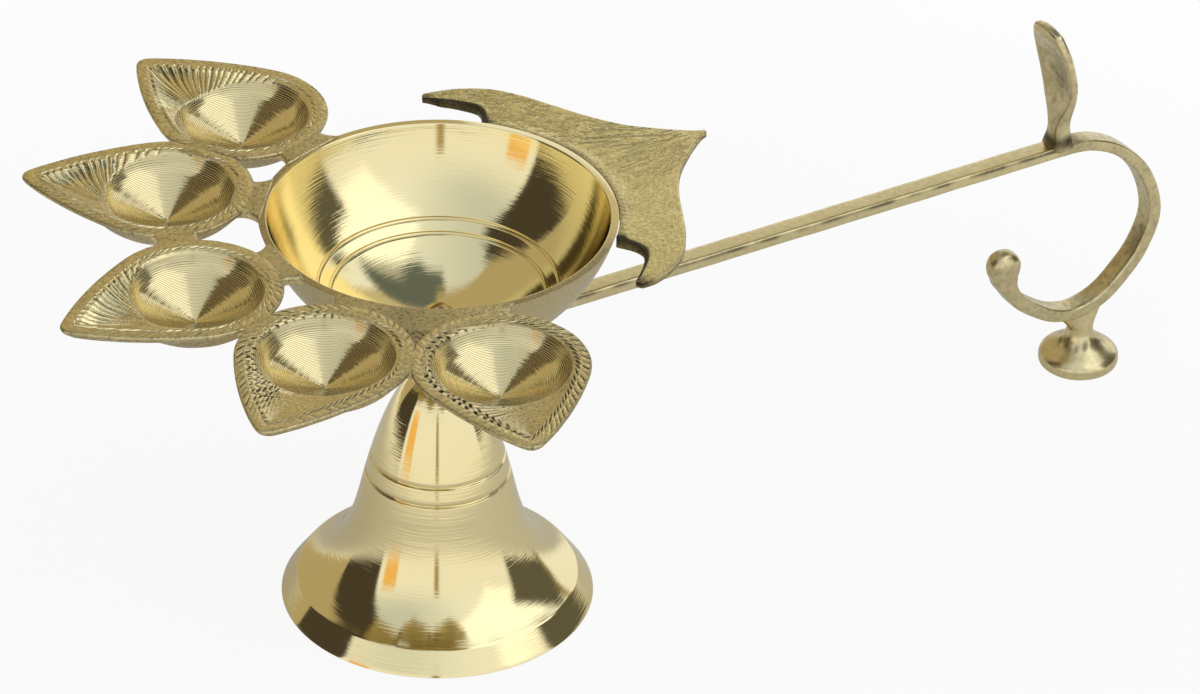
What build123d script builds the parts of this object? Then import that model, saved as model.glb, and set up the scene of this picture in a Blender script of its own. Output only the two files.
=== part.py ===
from build123d import *
from math import asin, atan2, cos, degrees, radians, sin, sqrt
import os

# A five-leaf brass hand lamp on a bell stand, in millimetres.
# The origin is the middle of the stand's base on the table, +Z is up and +X runs along the handle.

# Joints between pieces
braze_gap = 0.05
clamp_gap = 0.05
screw_clearance = 0.1
thread_gap = 0.05

# Centre screw, washer and nut
screw_radius = 2.0
screw_head_radius = 3.6
screw_head_height = 3.4
screw_slot_width = 0.9
screw_slot_depth = 0.9
screw_end = 2.5
washer_radius = 4.5
washer_thickness = 0.8
nut_across_flats = 7.0
nut_height = 3.2

# Bell stand
stand_height = 56.65
stand_base_radius = 30.4
stand_wall = 2.4
foot_band_height = 4.25
foot_band_inset = 3.1
flare_run = 8.3
flare_rise = 4.6
flare_fall = 8.5
waist_radius = 15.0
waist_height = 24.0
waist_lean = 0.22
waist_rise = 9.5
neck_radius = 5.0
neck_height = 7.35
shoulder_width = 4.3
shoulder_drop = 3.5
crown_thickness = 8.0
groove_radius = 0.45
groove_places = (0.16, 0.29)

# Handle bar and its eye
eye_radius = 8.0
eye_thickness = 2.6
bar_width = 4.2
bar_height = 2.6
bar_length = 147.0
bar_drop = 4.2

# Finger hook: reach past the bar's end, and share of the loop's drop, at each turn of its line
hook_thickness = 2.9
hook_width = 4.6
hook_turns = ((13.25, 0.118), (22.75, 0.533), (16.35, 0.843), (4.15, 1.0), (-5.85, 0.9))
hook_knob_radius = 3.6
hook_knob_place = (-13.7, 0.597)

# Handle foot
foot_height = 11.8
foot_radius = 8.2
foot_edge = 1.6
foot_crown = 4.4
foot_neck_radius = 2.6
foot_place = 6.6

# Thumb leaf
thumb_place = 1.9
thumb_height = 28.4
thumb_half_width = 5.7
thumb_stalk_half_width = 2.1
thumb_belly_height = 13.5
thumb_lean = 4.2
thumb_thickness = 3.2
thumb_dish_radius = 12.0
thumb_dish_depth = 1.3

# Oil bowl
bowl_rim_radius = 34.1
bowl_depth = 25.7
bowl_wall = 1.5
bowl_boss_height = 1.1
bowl_boss_inset = 1.0
bowl_pad_margin = 0.8
ring_radii = (20.5, 22.8)
ring_groove_radius = 0.4

# Leaf cups: name and angle round the bowl of each, from the handle's far side to its near side
leaf_turns = {
    "leaf_cup_right": 105.0,
    "leaf_cup_front_right": 139.0,
    "leaf_cup_front": 178.5,
    "leaf_cup_front_left": 215.0,
    "leaf_cup_left": 251.0,
}
filled_web = ("leaf_cup_front_left", "leaf_cup_left")
leaf_radius = 16.7
leaf_tip_length = 29.0
leaf_tip_radius = 1.2
leaf_belly_angle = 66.0
leaf_neck_length = 1.5
leaf_neck_width = 11.0
leaf_tie_width = 9.0
leaf_rise = 0.6
leaf_edge = 1.3
leaf_back = 1.5
leaf_back_inset = 1.0
leaf_back_taper = 45.0
leaf_border = 2.8
leaf_basin_depth = 1.2
cup_radius = 12.0
cup_depth = 7.2
cup_pit_radius = 3.6
cup_wall = 1.5

# Tail fan: distances out from the bowl's rim, and angles round it from the handle
fan_plate = 2.0
fan_step = 0.5
fan_tip_reach = 26.6
fan_tip_radius = 0.8
fan_horn_reach = 9.9
fan_horn_angle = 64.0
fan_horn_radius = 0.6
fan_back_reach = (16.5, 13.1)
fan_back_angles = (51.5, 37.5)
fan_side_reach = 12.3
fan_side_angle = 25.2
fan_notch_reach = 6.3
fan_notch_angle = 49.0
fan_root_angle = 43.9

# Heights of the stack along the screw
eye_bottom = stand_height + clamp_gap
eye_top = eye_bottom + eye_thickness
boss_bottom = eye_top + clamp_gap
bowl_bottom = boss_bottom + bowl_boss_height
rim_height = bowl_bottom + bowl_depth
screw_bore_radius = screw_radius + screw_clearance

# The bowl's two walls are spheres about one centre on the screw's axis
bowl_sphere = (bowl_rim_radius**2 + bowl_depth**2) / (2 * bowl_depth)
bowl_sphere_height = bowl_bottom + bowl_sphere
bowl_inner_sphere = bowl_sphere - bowl_wall
bowl_pad_radius = screw_head_radius + bowl_pad_margin
bowl_floor = bowl_sphere_height - sqrt(bowl_inner_sphere**2 - bowl_pad_radius**2)
bowl_boss_radius = eye_radius - bowl_boss_inset


def sphere_angle(sphere, height):
    """Angle up from the horizontal, in degrees, of a bowl sphere's wall at a height."""
    return degrees(asin((height - bowl_sphere_height) / sphere))


def arc_between(sphere, start, stop):
    """Arc of a bowl sphere in the section, from one angle to another."""
    return CenterArc((0, bowl_sphere_height), sphere, start, stop - start)


os.makedirs("parts", exist_ok=True)

# Bell stand: one turned section, hollow from below, with two engraved lines
crown_height = stand_height - neck_height
hollow_ceiling = crown_height - crown_thickness
band_top_radius = stand_base_radius - foot_band_inset
hollow_waist = waist_radius - stand_wall
hollow_base = band_top_radius - stand_wall
hollow_top = max(washer_radius, nut_across_flats / sqrt(3)) + stand_wall

with BuildPart() as bell_stand:
    with BuildSketch(Plane.XZ):
        with BuildLine():
            band = Line((stand_base_radius, 0), (band_top_radius, foot_band_height))
            Bezier(
                band @ 1,
                (band_top_radius - flare_run, foot_band_height + flare_rise),
                (waist_radius + waist_lean * flare_fall, waist_height - flare_fall),
                (waist_radius, waist_height),
            )
            crown = Bezier(
                (waist_radius, waist_height),
                (waist_radius - waist_lean * waist_rise, waist_height + waist_rise),
                (neck_radius + shoulder_width, crown_height - shoulder_drop),
                (neck_radius, crown_height),
            )
            neck = Polyline(
                crown @ 1,
                (neck_radius, stand_height),
                (screw_bore_radius, stand_height),
                (screw_bore_radius, hollow_ceiling),
                (hollow_top, hollow_ceiling),
                (hollow_waist, waist_height),
            )
            hollow = Bezier(
                neck @ 1,
                (hollow_waist + waist_lean * flare_fall, waist_height - flare_fall),
                (hollow_base - flare_run, flare_rise),
                (hollow_base, 0),
            )
            Line(hollow @ 1, band @ 0)
        make_face()
    revolve()
    with BuildSketch(Plane.XZ):
        with Locations(*[crown @ place for place in groove_places]):
            Circle(groove_radius)
    revolve(mode=Mode.SUBTRACT)
bell_stand.part.label = "bell_stand"
export_step(bell_stand.part, "parts/bell_stand.step")

# Washer and nut under the stand's crown
washer_bottom = hollow_ceiling - washer_thickness
nut_bottom = washer_bottom - nut_height

with BuildPart() as stand_washer:
    with BuildSketch(Plane.XY.offset(washer_bottom)):
        Circle(washer_radius)
        Circle(screw_bore_radius, mode=Mode.SUBTRACT)
    extrude(amount=washer_thickness)
stand_washer.part.label = "stand_washer"
export_step(stand_washer.part, "parts/stand_washer.step")

with BuildPart() as clamp_nut:
    with BuildSketch(Plane.XY.offset(nut_bottom)):
        RegularPolygon(nut_across_flats / 2, side_count=6, major_radius=False)
        Circle(screw_radius + thread_gap, mode=Mode.SUBTRACT)
    extrude(amount=nut_height)
clamp_nut.part.label = "clamp_nut"
export_step(clamp_nut.part, "parts/clamp_nut.step")

# Centre screw: a domed, slotted head on the bowl's floor and a shank down to the nut
screw_bottom = nut_bottom - screw_end
head_bottom = bowl_floor + clamp_gap
head_top = head_bottom + screw_head_height

with BuildPart() as centre_screw:
    with BuildSketch(Plane.XZ):
        with BuildLine():
            dome = TangentArc((0, head_top), (screw_head_radius, head_bottom), tangent=(1, 0))
            Polyline(
                dome @ 1,
                (screw_radius, head_bottom),
                (screw_radius, screw_bottom),
                (0, screw_bottom),
                dome @ 0,
            )
        make_face()
    revolve()
    with BuildSketch(Plane.XY.offset(head_top)):
        Rectangle(2 * screw_head_radius, screw_slot_width)
    extrude(amount=-screw_slot_depth, mode=Mode.SUBTRACT)
centre_screw.part.label = "centre_screw"
export_step(centre_screw.part, "parts/centre_screw.step")

# Handle bar: a flat eye round the screw, and a bar that drops a little towards its end
eye_middle = eye_bottom + eye_thickness / 2
bar_inside = (screw_bore_radius + eye_radius) / 2
bar_end_middle = eye_middle - bar_drop


def bar_middle(x):
    """Height of the bar's middle line at a distance along the handle."""
    return eye_middle - bar_drop * (x - eye_radius) / (bar_length - eye_radius)


with BuildPart() as handle_bar:
    with BuildSketch(Plane.XY.offset(eye_bottom)):
        Circle(eye_radius)
        Circle(screw_bore_radius, mode=Mode.SUBTRACT)
    extrude(amount=eye_thickness)
    with BuildSketch(Plane.XZ):
        with BuildLine():
            Polyline(
                (bar_inside, eye_middle - bar_height / 2),
                (eye_radius, eye_middle - bar_height / 2),
                (bar_length, bar_end_middle - bar_height / 2),
                (bar_length, bar_end_middle + bar_height / 2),
                (eye_radius, eye_middle + bar_height / 2),
                (bar_inside, eye_middle + bar_height / 2),
                close=True,
            )
        make_face()
    extrude(amount=bar_width / 2, both=True)
handle_bar.part.label = "handle_bar"
export_step(handle_bar.part, "parts/handle_bar.step")

# Finger hook: one strip bent through tangent arcs from the bar's end to its knob
hook_start = bar_length + braze_gap
loop_bottom = foot_height + hook_thickness / 2
loop_drop = bar_end_middle - loop_bottom


def hook_point(reach, share):
    """Point of the hook's line from its reach past the bar's end and its share of the drop."""
    return (hook_start + reach, bar_end_middle - share * loop_drop)


with BuildLine() as hook_line:
    here = (hook_start, bar_end_middle)
    heading = Vector(bar_length - eye_radius, -bar_drop)
    for hook_turn in hook_turns:
        there = hook_point(*hook_turn)
        bend = TangentArc(here, there, tangent=heading)
        here = there
        heading = bend % 1
    knob = hook_point(*hook_knob_place)
    TangentArc(here, knob, tangent=heading)

with BuildPart() as finger_hook:
    with BuildSketch(Plane.XZ):
        trace(hook_line.line, line_width=hook_thickness)
        with Locations(knob):
            Circle(hook_knob_radius)
    extrude(amount=hook_width / 2, both=True)
finger_hook.part.label = "finger_hook"
export_step(finger_hook.part, "parts/finger_hook.step")

# Handle foot: a domed disc on the table and a neck cut to the loop's underside
foot_x = hook_start + foot_place
foot_neck_top = loop_bottom + hook_thickness / 2

with BuildPart() as handle_foot:
    with BuildSketch(Plane.XZ):
        with BuildLine():
            edge = Polyline((foot_x, 0), (foot_x + foot_radius, 0), (foot_x + foot_radius, foot_edge))
            brow = Bezier(
                edge @ 1,
                (foot_x + foot_radius, foot_crown),
                (foot_x + foot_neck_radius, foot_crown),
                (foot_x + foot_neck_radius, foot_crown + foot_edge),
            )
            Polyline(
                brow @ 1,
                (foot_x + foot_neck_radius, foot_neck_top),
                (foot_x, foot_neck_top),
                edge @ 0,
            )
        make_face()
    revolve(axis=Axis((foot_x, 0, 0), (0, 0, 1)))
    with BuildSketch(Plane.XZ):
        trace(hook_line.line, line_width=hook_thickness + 2 * braze_gap)
    extrude(amount=hook_width, both=True, mode=Mode.SUBTRACT)
handle_foot.part.label = "handle_foot"
export_step(handle_foot.part, "parts/handle_foot.step")

# Thumb leaf: a strip that leans back, cut to a leaf outline and dished on the bowl's side
thumb_x = bar_length - thumb_place
thumb_bottom = bar_middle(thumb_x) + bar_height / 2 + braze_gap
thumb_top = thumb_bottom + thumb_height
thumb_belly = thumb_bottom + thumb_belly_height
belly_lean = thumb_lean * (thumb_belly_height / thumb_height) ** 2
dish_x = thumb_x - belly_lean - thumb_thickness / 2 + thumb_dish_depth - thumb_dish_radius

with BuildPart() as thumb_leaf:
    with BuildSketch(Plane.XZ):
        with BuildLine() as spine:
            TangentArc((thumb_x, thumb_bottom), (thumb_x - thumb_lean, thumb_top), tangent=(0, 1))
        trace(spine.line, line_width=thumb_thickness)
    extrude(amount=thumb_half_width, both=True)
    with BuildSketch(Plane.YZ):
        with BuildLine():
            stalk = Bezier(
                (thumb_stalk_half_width, thumb_bottom),
                (thumb_stalk_half_width, thumb_bottom + thumb_belly_height / 2),
                (thumb_half_width, thumb_bottom + thumb_belly_height / 2),
                (thumb_half_width, thumb_belly),
            )
            Bezier(
                stalk @ 1,
                (thumb_half_width, thumb_top - thumb_belly_height / 3),
                (thumb_half_width / 2, thumb_top),
                (0, thumb_top),
            )
            mirror(about=Plane.YZ)
            Line((-thumb_stalk_half_width, thumb_bottom), (thumb_stalk_half_width, thumb_bottom))
        make_face()
    extrude(amount=thumb_x + thumb_thickness, mode=Mode.INTERSECT)
    with Locations((dish_x, 0, thumb_belly)):
        Sphere(thumb_dish_radius, mode=Mode.SUBTRACT)
thumb_leaf.part.label = "thumb_leaf"
export_step(thumb_leaf.part, "parts/thumb_leaf.step")

# Oil bowl: two spherical walls with a flat lip, a boss on the handle's eye and a pad for the screw
bowl_inner_rim_angle = sphere_angle(bowl_inner_sphere, rim_height)
bowl_outer_rim_angle = sphere_angle(bowl_sphere, rim_height)
boss_angle = -degrees(atan2(sqrt(bowl_sphere**2 - bowl_boss_radius**2), bowl_boss_radius))
pad_angle = -degrees(atan2(sqrt(bowl_inner_sphere**2 - bowl_pad_radius**2), bowl_pad_radius))
ring_points = [(r, bowl_sphere_height - sqrt(bowl_inner_sphere**2 - r**2)) for r in ring_radii]

with BuildPart() as oil_bowl:
    with BuildSketch(Plane.XZ):
        with BuildLine():
            outside = arc_between(bowl_sphere, boss_angle, bowl_outer_rim_angle)
            inside = arc_between(bowl_inner_sphere, bowl_inner_rim_angle, pad_angle)
            Line(outside @ 1, inside @ 0)
            Polyline(
                inside @ 1,
                (screw_bore_radius, bowl_floor),
                (screw_bore_radius, boss_bottom),
                (bowl_boss_radius, boss_bottom),
                outside @ 0,
            )
        make_face()
    revolve()
    with BuildSketch(Plane.XZ):
        with Locations(*ring_points):
            Circle(ring_groove_radius)
    revolve(mode=Mode.SUBTRACT)
oil_bowl.part.label = "oil_bowl"
export_step(oil_bowl.part, "parts/oil_bowl.step")

# Leaf cups: a teardrop with a raised border, a turned cup, a neck to the bowl and ties to its neighbours
leaf_distance = bowl_rim_radius + leaf_neck_length + leaf_radius
leaf_top = rim_height + leaf_rise
leaf_reach = leaf_distance + leaf_tip_length
back_radius = leaf_radius - leaf_back_inset
cup_bottom = cup_depth + cup_wall
belly = radians(leaf_belly_angle)
leaf_order = list(leaf_turns)


def teardrop():
    """Lines of the leaf's outline: a round end towards the bowl and two arcs that meet at the tip."""
    tip = (leaf_reach, 0)
    shoulder = (leaf_distance + leaf_radius * cos(belly), leaf_radius * sin(belly))
    TangentArc(shoulder, tip, tangent=(sin(belly), -cos(belly)))
    ThreePointArc(shoulder, (leaf_distance - leaf_radius, 0), (shoulder[0], -shoulder[1]))
    TangentArc((shoulder[0], -shoulder[1]), tip, tangent=(sin(belly), cos(belly)))


def bisector(radius, half_angle, side, setback=0.0):
    """Point at a radius on the line half-way to the next leaf, set back from it towards the leaf."""
    return (
        radius * cos(half_angle) + setback * sin(half_angle),
        side * (radius * sin(half_angle) - setback * cos(half_angle)),
    )


def leaf_sides(name):
    """Side, half angle and filled web of each neighbour of a leaf."""
    place = leaf_order.index(name)
    for side in (1, -1):
        if 0 <= place + side < len(leaf_order):
            neighbour = leaf_order[place + side]
            half_angle = radians(abs(leaf_turns[neighbour] - leaf_turns[name]) / 2)
            yield side, half_angle, {name, neighbour} == set(filled_web)


for leaf_name, leaf_turn in leaf_turns.items():
    turn = radians(leaf_turn)
    outward = (cos(turn), sin(turn), 0)
    leaf_plane = Plane(origin=(0, 0, leaf_top), x_dir=outward, z_dir=(0, 0, 1))
    cup_origin = (leaf_distance * cos(turn), leaf_distance * sin(turn), leaf_top)
    cup_plane = Plane(origin=cup_origin, x_dir=outward, z_dir=(sin(turn), -cos(turn), 0))
    cup_axis = Axis(cup_origin, (0, 0, 1))

    with BuildPart() as leaf_cup:
        with BuildSketch(leaf_plane):
            with BuildLine():
                teardrop()
            make_face()
            fillet(vertices().sort_by(Axis.X)[-1], leaf_tip_radius)
            with Locations((leaf_distance / 2, 0)):
                Rectangle(leaf_distance, leaf_neck_width)
            for side, half_angle, filled in leaf_sides(leaf_name):
                tie_middle = leaf_distance * cos(half_angle)
                tie_start = leaf_neck_width if filled else tie_middle - leaf_tie_width / 2
                tie_stop = tie_middle + leaf_tie_width / 2
                Polygon(
                    (tie_start * cos(half_angle), 0),
                    (tie_stop * cos(half_angle), 0),
                    bisector(tie_stop, half_angle, side),
                    bisector(tie_start, half_angle, side),
                    align=None,
                )
        extrude(amount=-leaf_edge)
        with BuildSketch(leaf_plane.offset(-leaf_edge)):
            with BuildLine():
                teardrop()
            make_face()
            offset(amount=-leaf_back_inset, mode=Mode.REPLACE)
        extrude(amount=-leaf_back, taper=leaf_back_taper)
        with BuildSketch(cup_plane):
            with BuildLine():
                under = Bezier(
                    (back_radius, -leaf_basin_depth),
                    (back_radius - cup_pit_radius, -cup_bottom),
                    (0, -cup_bottom),
                )
                Polyline(under @ 1, (0, -leaf_basin_depth), under @ 0)
            make_face()
        revolve(axis=cup_axis)
        with BuildSketch(leaf_plane):
            with BuildLine():
                teardrop()
            make_face()
            offset(amount=-leaf_border, mode=Mode.REPLACE)
        extrude(amount=-leaf_basin_depth, mode=Mode.SUBTRACT)
        with BuildSketch(cup_plane):
            with BuildLine():
                bed = Bezier((cup_radius, -leaf_basin_depth), (cup_pit_radius, -cup_depth), (0, -cup_depth))
                Polyline(bed @ 1, (0, 0), (cup_radius, 0), bed @ 0)
            make_face()
        revolve(axis=cup_axis, mode=Mode.SUBTRACT)
        with BuildSketch(leaf_plane):
            for side, half_angle, _ in leaf_sides(leaf_name):
                Polygon(
                    bisector(0, half_angle, side, braze_gap / 2),
                    bisector(leaf_reach, half_angle, side, braze_gap / 2),
                    (0, side * leaf_reach),
                    align=None,
                )
        extrude(amount=-cup_bottom, mode=Mode.SUBTRACT)
        with Locations((0, 0, bowl_sphere_height)):
            Sphere(bowl_sphere + braze_gap, mode=Mode.SUBTRACT)
    leaf_cup.part.label = leaf_name
    export_step(leaf_cup.part, f"parts/{leaf_name}.step")

# Tail fan: a plate with two horns and a middle point, fitted to the bowl's rim
fan_top = rim_height - fan_step


def rim_point(reach, angle):
    """Point in plan at a reach out from the bowl's rim and an angle round it from the handle."""
    radius = bowl_rim_radius + reach
    return (radius * cos(radians(angle)), radius * sin(radians(angle)))


with BuildPart() as tail_fan:
    with BuildSketch(Plane.XY.offset(fan_top)):
        with BuildLine():
            horn = rim_point(fan_horn_reach, fan_horn_angle)
            back = Bezier(
                horn,
                rim_point(fan_back_reach[0], fan_back_angles[0]),
                rim_point(fan_back_reach[1], fan_back_angles[1]),
                rim_point(fan_side_reach, fan_side_angle),
            )
            TangentArc(back @ 1, rim_point(fan_tip_reach, 0), tangent=back % 1)
            root = rim_point(0, fan_root_angle)
            ThreePointArc(horn, rim_point(fan_notch_reach, fan_notch_angle), root)
            Line(root, (0, 0))
            mirror(about=Plane.XZ)
        make_face()
        fillet(vertices().sort_by(Axis.X)[-1], fan_tip_radius)
        fillet(vertices().group_by(Axis.Y)[-1] + vertices().group_by(Axis.Y)[0], fan_horn_radius)
    extrude(amount=-fan_plate)
    with Locations((0, 0, bowl_sphere_height)):
        Sphere(bowl_sphere + braze_gap, mode=Mode.SUBTRACT)
tail_fan.part.label = "tail_fan"
export_step(tail_fan.part, "parts/tail_fan.step")
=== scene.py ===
# %% [markdown]
# # A brass hand lamp with five leaf cups
#
# This lamp is carried in the hand during worship and set down on its bell stand. The solids fix its sizes
# and joints and are never moved. Every visible piece but the screw, washer and nut is worked out again as a
# finer surface in the same place, because chased veins, rope edges and tool marks are what make it look like
# cast brass.

# %% Load the imported lamp
import bmesh
import bpy
import numpy as np
from mathutils import Matrix, Vector


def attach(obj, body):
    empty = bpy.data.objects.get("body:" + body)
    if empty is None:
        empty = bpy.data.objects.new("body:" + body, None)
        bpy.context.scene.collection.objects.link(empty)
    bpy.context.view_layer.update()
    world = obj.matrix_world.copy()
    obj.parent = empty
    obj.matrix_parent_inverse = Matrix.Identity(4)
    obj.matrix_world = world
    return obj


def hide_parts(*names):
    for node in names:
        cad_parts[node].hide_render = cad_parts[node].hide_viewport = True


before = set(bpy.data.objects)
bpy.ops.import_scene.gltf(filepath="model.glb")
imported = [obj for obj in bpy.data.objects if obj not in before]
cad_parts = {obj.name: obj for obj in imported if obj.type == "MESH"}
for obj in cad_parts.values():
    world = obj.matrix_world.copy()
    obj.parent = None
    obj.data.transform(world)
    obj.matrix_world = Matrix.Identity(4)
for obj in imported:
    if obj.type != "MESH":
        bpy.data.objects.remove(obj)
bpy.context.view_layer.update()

scene = bpy.context.scene
MM = 0.001
print("nodes:", ", ".join(sorted(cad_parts)))

# %% [markdown]
# ## The camera
#
# A long lens far away keeps the bell's base and the bowl's rim nearly the same shape. The angles, the
# distance and the small roll were found by fitting the rims and the leaf tips to the photograph.

# %% Place the camera
AIM = np.array([31.39, -8.38, 50.0])
AWAY, LENS, SENSOR_WIDTH = 1404.7, 219.0, 36.0
UPRIGHT = np.array([0.0, 0.0, 1.0])
azimuth, elevation, roll = np.radians([-33.14, 33.54, 1.02])
right = np.array([np.cos(azimuth), np.sin(azimuth), 0.0])
front = np.array([np.sin(azimuth), -np.cos(azimuth), 0.0])
back = np.cos(elevation) * front + np.sin(elevation) * UPRIGHT
up = np.cross(back, right)
view_right = np.cos(roll) * right + np.sin(roll) * up
view_up = -np.sin(roll) * right + np.cos(roll) * up

camera_data = bpy.data.cameras.new("camera")
camera_data.sensor_width = SENSOR_WIDTH
camera_data.lens = LENS
camera_data.clip_end = 20.0
camera = bpy.data.objects.new("camera", camera_data)
turn = Matrix((view_right, view_up, back)).transposed().to_4x4()
camera.matrix_world = Matrix.Translation(Vector((AIM + back * AWAY) * MM)) @ turn
scene.collection.objects.link(camera)
scene.camera = camera
print("camera at", [round(v, 3) for v in camera.matrix_world.translation])

# %% [markdown]
# ## From grids of points to pieces
#
# Each shape below is a grid: one parameter runs along the rows and the other along the columns. Points that
# fall together at a seam or a pole are merged, so every shell is closed, and its faces are turned outwards.
# Three values are carried on the points for the finishes to read: how polished the metal is, how far along
# the lathe's cut a point lies, and how dark a point is: dark patina, and painted shade on the cups' steep
# walls, inside the finger hook's loop and in the thumb leaf's dish.


def grid_faces(rows, columns, wrap_rows, wrap_columns):
    """Corner numbers of every cell of a grid: its own, the one below, below and beside, and beside."""
    last_row, last_column = rows - (not wrap_rows), columns - (not wrap_columns)
    i, j = np.meshgrid(np.arange(last_row), np.arange(last_column), indexing="ij")
    below, beside = (i + 1) % rows, (j + 1) % columns
    corners = (i * columns + j, below * columns + j, below * columns + beside, i * columns + beside)
    return np.stack(corners, -1).reshape(-1, 4)


def shell(points, wrap_rows=False, polish=0.0, cut=0.0, dark=0.0):
    """A grid of points in millimetres, closed across its columns, with its three finish values."""
    shape = points.shape[:2]
    values = [np.broadcast_to(np.asarray(v, float), shape).ravel() for v in (polish, cut, dark)]
    return points.reshape(-1, 3), grid_faces(*shape, wrap_rows, True), values


def new_object(name, points, faces, material):
    """A mesh object of the given points and faces, standing at the origin."""
    mesh = bpy.data.meshes.new(name)
    mesh.from_pydata(points.tolist(), [], faces.tolist())
    mesh.materials.append(material)
    made = bpy.data.objects.new(name, mesh)
    scene.collection.objects.link(made)
    return made


def make_piece(node, shells, material, body):
    """Joins shells into one mesh in metres, closes seams and poles, and stands it in place of a solid."""
    starts = np.cumsum([0] + [len(points) for points, _, _ in shells])
    points = np.concatenate([points for points, _, _ in shells]) * MM
    faces = np.concatenate([faces + start for (_, faces, _), start in zip(shells, starts)])
    piece = new_object(node + "_skin", points, faces, material)
    mesh = piece.data
    for place, label in enumerate(("polish", "cut", "dark")):
        layer = mesh.attributes.new(label, "FLOAT", "POINT")
        layer.data.foreach_set("value", np.concatenate([values[place] for _, _, values in shells]))
    work = bmesh.new()
    work.from_mesh(mesh)
    bmesh.ops.remove_doubles(work, verts=work.verts, dist=1e-6)
    bmesh.ops.recalc_face_normals(work, faces=work.faces)
    work.to_mesh(mesh)
    work.free()
    mesh.polygons.foreach_set("use_smooth", np.ones(len(mesh.polygons), bool))
    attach(piece, body)
    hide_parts(node)
    print(f"{piece.name}: {len(mesh.vertices)} points, {len(mesh.polygons)} faces")


# %% [markdown]
# ## Wiring nodes
#
# Finishes, floor and room are node trees. These functions make their steps read like arithmetic; a value may
# be another node's socket or a plain number. feed fills sockets with values, span is a smooth rise from low
# to high, and carried is a value that the points of the mesh hold.

# %% Functions that add nodes
class Wiring:
    """Adds nodes to one node tree and joins them up."""

    def __init__(self, tree):
        self.nodes, self.links = tree.nodes, tree.links

    def node(self, kind, **settings):
        made = self.nodes.new(kind)
        for key, value in settings.items():
            setattr(made, key, value)
        return made

    def feed(self, sockets, *values):
        for socket, value in zip(sockets, values):
            if isinstance(value, bpy.types.NodeSocket):
                self.links.new(value, socket)
            else:
                socket.default_value = value

    def math(self, operation, *values):
        made = self.node("ShaderNodeMath", operation=operation)
        self.feed(made.inputs, *values)
        return made.outputs[0]

    def span(self, value, low, high, start=0.0, stop=1.0):
        made = self.node("ShaderNodeMapRange", interpolation_type="SMOOTHSTEP")
        self.feed(made.inputs, value, low, high, start, stop)
        return made.outputs[0]

    def noise(self, vector, scale, detail):
        made = self.node("ShaderNodeTexNoise")
        self.feed([made.inputs[name] for name in ("Vector", "Scale", "Detail")], vector, scale, detail)
        return made.outputs["Fac"]

    def blend(self, amount, first, second):
        made = self.node("ShaderNodeMix", data_type="RGBA")
        colours = [(*c, 1.0) if isinstance(c, tuple) else c for c in (first, second)]
        self.feed([made.inputs[place] for place in (0, 6, 7)], amount, *colours)
        return made.outputs[2]

    def coordinate(self, label):
        return self.node("ShaderNodeTexCoord").outputs[label]

    def carried(self, label):
        return self.node("ShaderNodeAttribute", attribute_name=label).outputs["Fac"]


def new_material(name):
    """A material of that name and the wiring of its node tree."""
    material = bpy.data.materials.new(name)
    material.use_nodes = True
    return material, Wiring(material.node_tree)

# %% [markdown]
# ## Brass finishes
#
# All of the lamp is brass, so what changes from piece to piece is how it was worked. Turned faces are
# polished, with fine rings and, in the cups, the saw-tooth of a pointed tool. Cast faces are satin and
# pitted, and hold dark patina. Painted images could show this, but noise in nodes keeps its scale on any
# piece, so one recipe makes both: the polish value mixes the two, the cut value drives the rings, and the
# dark value with some noise brings the patina and, in a few places, painted shade.

# %% A recipe for brass
BRIGHT = (0.86, 0.73, 0.39)
SOOT_AND_SHADE = (0.060, 0.045, 0.026)
RING_SPREAD = 0.06
TOOL_CLIMB = 0.75


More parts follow.
